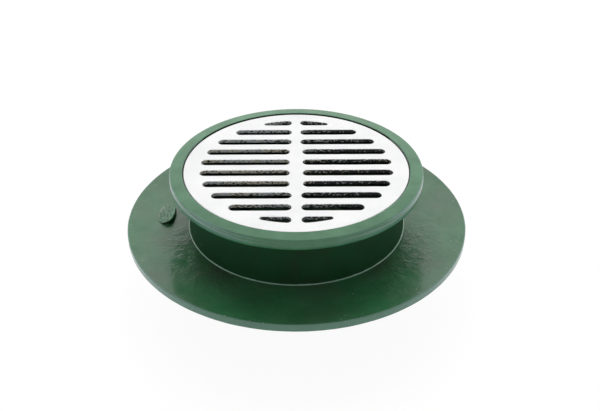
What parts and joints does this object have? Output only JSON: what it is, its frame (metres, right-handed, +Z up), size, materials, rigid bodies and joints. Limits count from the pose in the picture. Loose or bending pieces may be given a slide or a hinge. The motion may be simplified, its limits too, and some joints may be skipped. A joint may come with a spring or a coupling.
{
  "type": "roof drain",
  "caption": "Flat roof drain: painted cast body with a round rim, short neck, wide membrane flange and threaded outlet hub, and a slotted metal grate lying in the rim.",
  "frame": {"origin": "centre of the outlet hub's lower end, on which the drain stands", "axes": "+Z up along the drain's axis, X along the grate's slots with the riser stub at -X, +Y away from the picture's camera"},
  "size_m": [0.2726, 0.2726, 0.0931],
  "materials": {
    "green_paint": "gloss",
    "bright_plate": "polished"
  },
  "bodies": {
    "root": {"drain_body": "green_paint", "grate": "bright_plate"}
  },
  "joints": []
}
